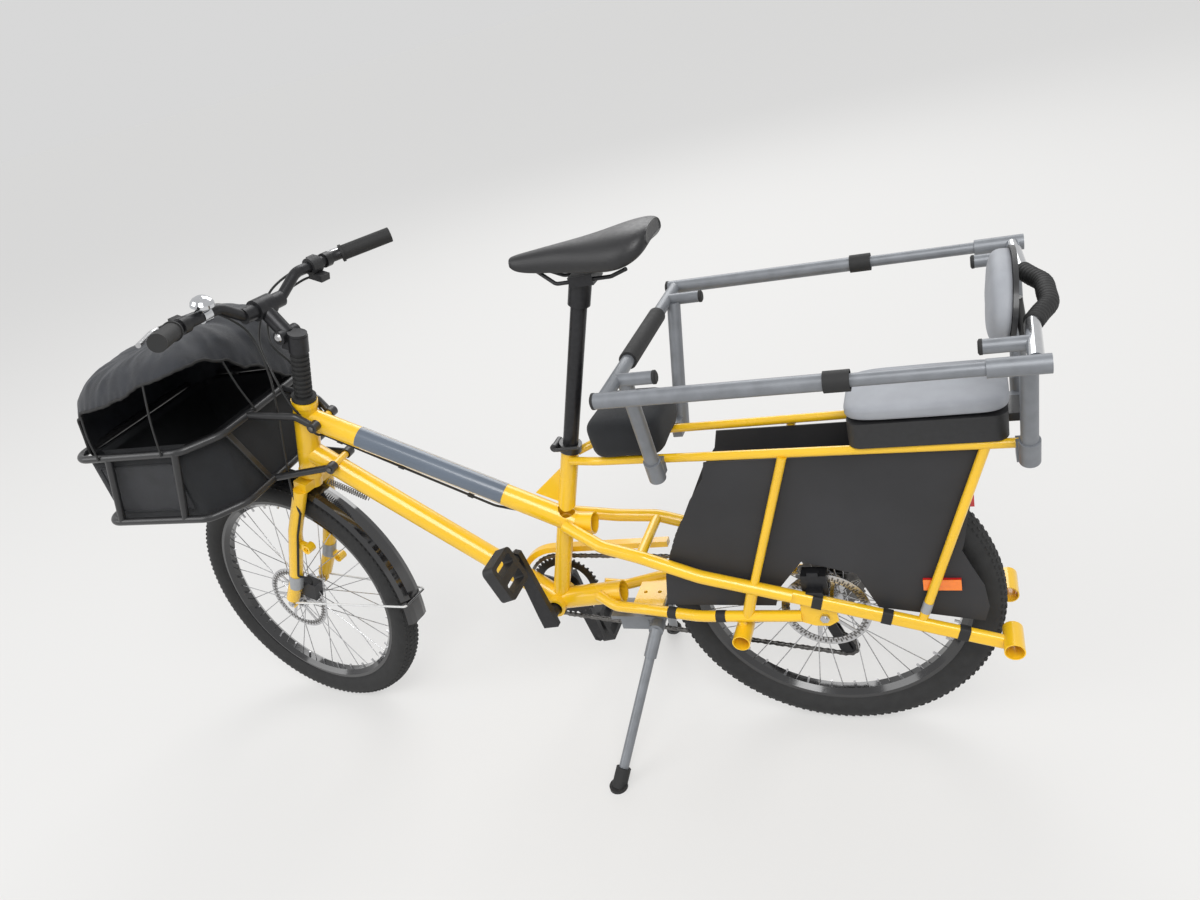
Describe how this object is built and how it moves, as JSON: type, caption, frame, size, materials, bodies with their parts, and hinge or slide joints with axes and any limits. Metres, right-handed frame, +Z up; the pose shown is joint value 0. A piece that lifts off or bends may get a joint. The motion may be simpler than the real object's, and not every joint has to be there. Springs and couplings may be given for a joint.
{
  "type": "longtail cargo bicycle",
  "caption": "Yellow longtail cargo bicycle with a covered front basket, a passenger seat with side rails and a two-legged stand.",
  "frame": {"origin": "on the ground midway along the bicycle, in its centre plane", "axes": "+X ahead, +Y to the rider's left, +Z up; the ground is z = 0"},
  "size_m": [1.9259, 0.638, 1.0892],
  "materials": {
    "yellow_paint": "gloss",
    "black_paint": "gloss",
    "tyre_rubber": "matte",
    "rubber": "matte",
    "steel": "satin",
    "chrome": "polished",
    "black_alloy": "satin",
    "grey_paint": "satin",
    "black_plastic": "matte",
    "black_gloss": "gloss",
    "black_fabric": "matte",
    "grey_fabric": "matte",
    "saddle_skin": "satin",
    "reflector": "gloss"
  },
  "bodies": {
    "frame": {"head_tube": "yellow_paint", "seat_tube": "yellow_paint", "top_tube": "yellow_paint", "down_tube": "yellow_paint", "bottom_bracket": "yellow_paint", "upper_stays": "yellow_paint", "lower_stays": "yellow_paint", "accessory_tubes": "yellow_paint", "stand_bracket": "grey_paint", "rack_rails": "yellow_paint", "rack_struts": "yellow_paint", "skirts": "black_plastic", "reflectors": "reflector", "rear_axle": "steel", "rear_caliper": "black_alloy", "chain": "steel", "rear_derailleur": "black_alloy", "chain_guard": "yellow_paint", "seatpost": "black_alloy", "seat_clamp": "black_alloy", "saddle": "saddle_skin", "front_cushion": "black_fabric", "seat_base": "black_plastic", "seat_pad": "grey_fabric", "backrest_shell": "black_plastic", "backrest_pad": "grey_fabric", "side_rails": "grey_paint", "rail_grips": "black_plastic", "grab_bar": "chrome", "rail_posts": "grey_paint", "basket_frame": "black_paint", "basket_liner": "black_fabric", "basket_cover": "black_fabric", "rear_cable": "rubber"},
    "steering": {"fork": "yellow_paint", "steerer_boot": "rubber", "stem": "black_alloy", "handlebar": "black_alloy", "grips": "rubber", "brake_levers": "steel", "shifter": "black_plastic", "bell": "chrome", "front_fender": "black_gloss", "front_caliper": "black_alloy", "front_brake_cable": "rubber", "front_axle": "steel"},
    "front_wheel": {"front_tyre": "tyre_rubber", "front_rim": "black_alloy", "front_hub": "steel"},
    "rear_wheel": {"rear_tyre": "tyre_rubber", "rear_rim": "black_alloy", "rear_hub": "steel", "cassette": "steel"},
    "crank": {"crankset": "black_alloy"},
    "pedal_left": {"left_pedal": "black_plastic"},
    "pedal_right": {"right_pedal": "black_plastic"},
    "stand": {"stand_legs": "grey_paint", "stand_feet": "rubber"}
  },
  "joints": [
    {"name": "steering_turn", "type": "hinge", "parent": "frame", "child": "steering", "pos_m": [0.4935, 0, 0.63484], "axis": [-0.3404, 0, 0.9403], "range_deg": [-46.7, 63.3]},
    {"name": "front_wheel_spin", "type": "hinge", "parent": "steering", "child": "front_wheel", "pos_m": [0.66203, -0.00687, 0.30766], "axis": [0.1357, 0.9895, 0.0491], "continuous": true},
    {"name": "rear_wheel_spin", "type": "hinge", "parent": "frame", "child": "rear_wheel", "pos_m": [-0.5695, 0, 0.308], "axis": [0, 1, 0], "continuous": true},
    {"name": "crank_spin", "type": "hinge", "parent": "frame", "child": "crank", "pos_m": [-0.0045, 0, 0.29], "axis": [0, 1, 0], "continuous": true},
    {"name": "left_pedal_spin", "type": "hinge", "parent": "crank", "child": "pedal_left", "pos_m": [0.01989, 0.13, 0.45319], "axis": [0, 1, 0], "continuous": true},
    {"name": "right_pedal_spin", "type": "hinge", "parent": "crank", "child": "pedal_right", "pos_m": [-0.02889, -0.13, 0.12681], "axis": [0, 1, 0], "continuous": true},
    {"name": "stand_fold", "type": "hinge", "parent": "frame", "child": "stand", "pos_m": [-0.2245, 0, 0.25], "axis": [0, 1, 0], "range_deg": [0, 100]}
  ]
}
